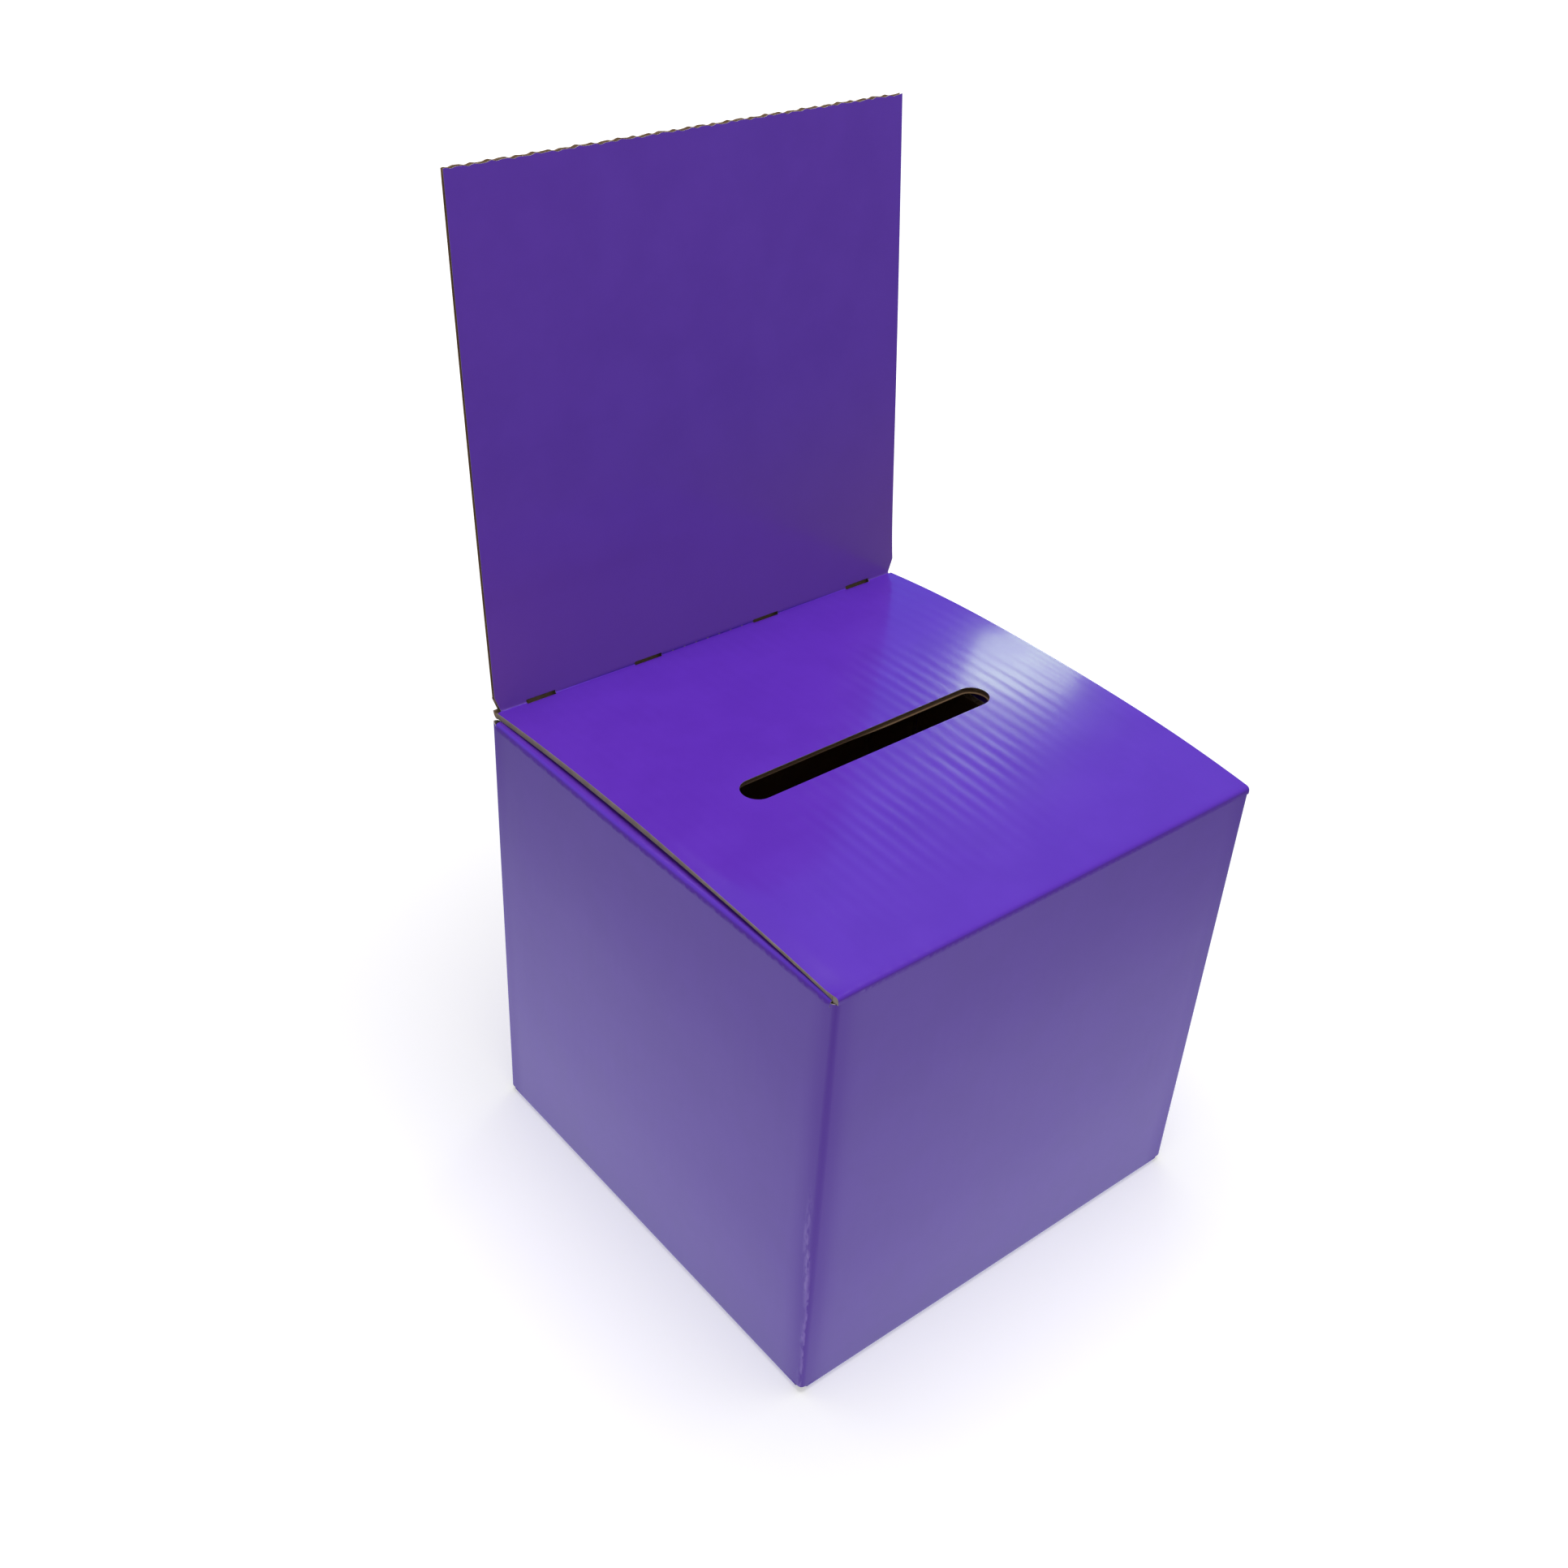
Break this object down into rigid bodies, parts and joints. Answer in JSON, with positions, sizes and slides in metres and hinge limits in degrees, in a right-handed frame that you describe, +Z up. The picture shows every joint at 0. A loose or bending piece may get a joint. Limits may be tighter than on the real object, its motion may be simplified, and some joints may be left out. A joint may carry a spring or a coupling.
{
  "type": "ballot box",
  "caption": "Cube-shaped corrugated cardboard ballot box with a slotted flap lid folding from the front wall and a tall flat header board standing up from the lid's rear edge.",
  "frame": {"origin": "middle of the box's base, on the surface that it stands on", "axes": "+Z up, +X right along the front wall, +Y from the front wall to the back wall, where the header stands"},
  "size_m": [0.216, 0.2371, 0.4221],
  "materials": {
    "purple_print": "glossy coated purple print on the outer liner",
    "fluted_kraft": "uncoated fluted kraft paper",
    "kraft_liner": "uncoated flat kraft paper",
    "glue": "dried carton adhesive"
  },
  "bodies": {
    "carton": {"front_wall_print": "purple_print", "front_wall_flutes": "fluted_kraft", "front_wall_kraft": "kraft_liner", "right_wall_print": "purple_print", "right_wall_flutes": "fluted_kraft", "right_wall_kraft": "kraft_liner", "back_wall_print": "purple_print", "back_wall_flutes": "fluted_kraft", "back_wall_kraft": "kraft_liner", "left_wall_print": "purple_print", "left_wall_flutes": "fluted_kraft", "left_wall_kraft": "kraft_liner", "glue_flap_print": "purple_print", "glue_flap_flutes": "fluted_kraft", "glue_flap_kraft": "kraft_liner", "glue_line": "glue", "bottom_front_print": "purple_print", "bottom_front_flutes": "fluted_kraft", "bottom_front_kraft": "kraft_liner", "bottom_back_print": "purple_print", "bottom_back_flutes": "fluted_kraft", "bottom_back_kraft": "kraft_liner", "bottom_left_print": "purple_print", "bottom_left_flutes": "fluted_kraft", "bottom_left_kraft": "kraft_liner", "bottom_right_print": "purple_print", "bottom_right_flutes": "fluted_kraft", "bottom_right_kraft": "kraft_liner"},
    "left_ledge": {"left_ledge_print": "purple_print", "left_ledge_flutes": "fluted_kraft", "left_ledge_kraft": "kraft_liner"},
    "right_ledge": {"right_ledge_print": "purple_print", "right_ledge_flutes": "fluted_kraft", "right_ledge_kraft": "kraft_liner"},
    "back_ledge": {"back_ledge_print": "purple_print", "back_ledge_flutes": "fluted_kraft", "back_ledge_kraft": "kraft_liner"},
    "lid": {"lid_print": "purple_print", "lid_flutes": "fluted_kraft", "lid_kraft": "kraft_liner", "header_fold_kraft": "kraft_liner"},
    "header": {"header_print": "purple_print", "header_flutes": "fluted_kraft", "header_kraft": "kraft_liner"}
  },
  "joints": [
    {"name": "lid_fold", "type": "hinge", "parent": "carton", "child": "lid", "pos_m": [0, -0.107, 0.206], "axis": [1, 0, 0], "range_deg": [0, 170]},
    {"name": "header_fold", "type": "hinge", "parent": "lid", "child": "header", "pos_m": [0, 0.107, 0.209], "axis": [1, 0, 0], "range_deg": [-83, 92], "deforming": ["header_fold_kraft"]},
    {"name": "left_ledge_fold", "type": "hinge", "parent": "carton", "child": "left_ledge", "pos_m": [-0.105, 0, 0.2027], "axis": [0, 1, 0], "range_deg": [0, 88]},
    {"name": "right_ledge_fold", "type": "hinge", "parent": "carton", "child": "right_ledge", "pos_m": [0.105, 0, 0.2027], "axis": [0, -1, 0], "range_deg": [0, 88]},
    {"name": "back_ledge_fold", "type": "hinge", "parent": "carton", "child": "back_ledge", "pos_m": [0, 0.104, 0.2027], "axis": [1, 0, 0], "range_deg": [0, 88]}
  ]
}
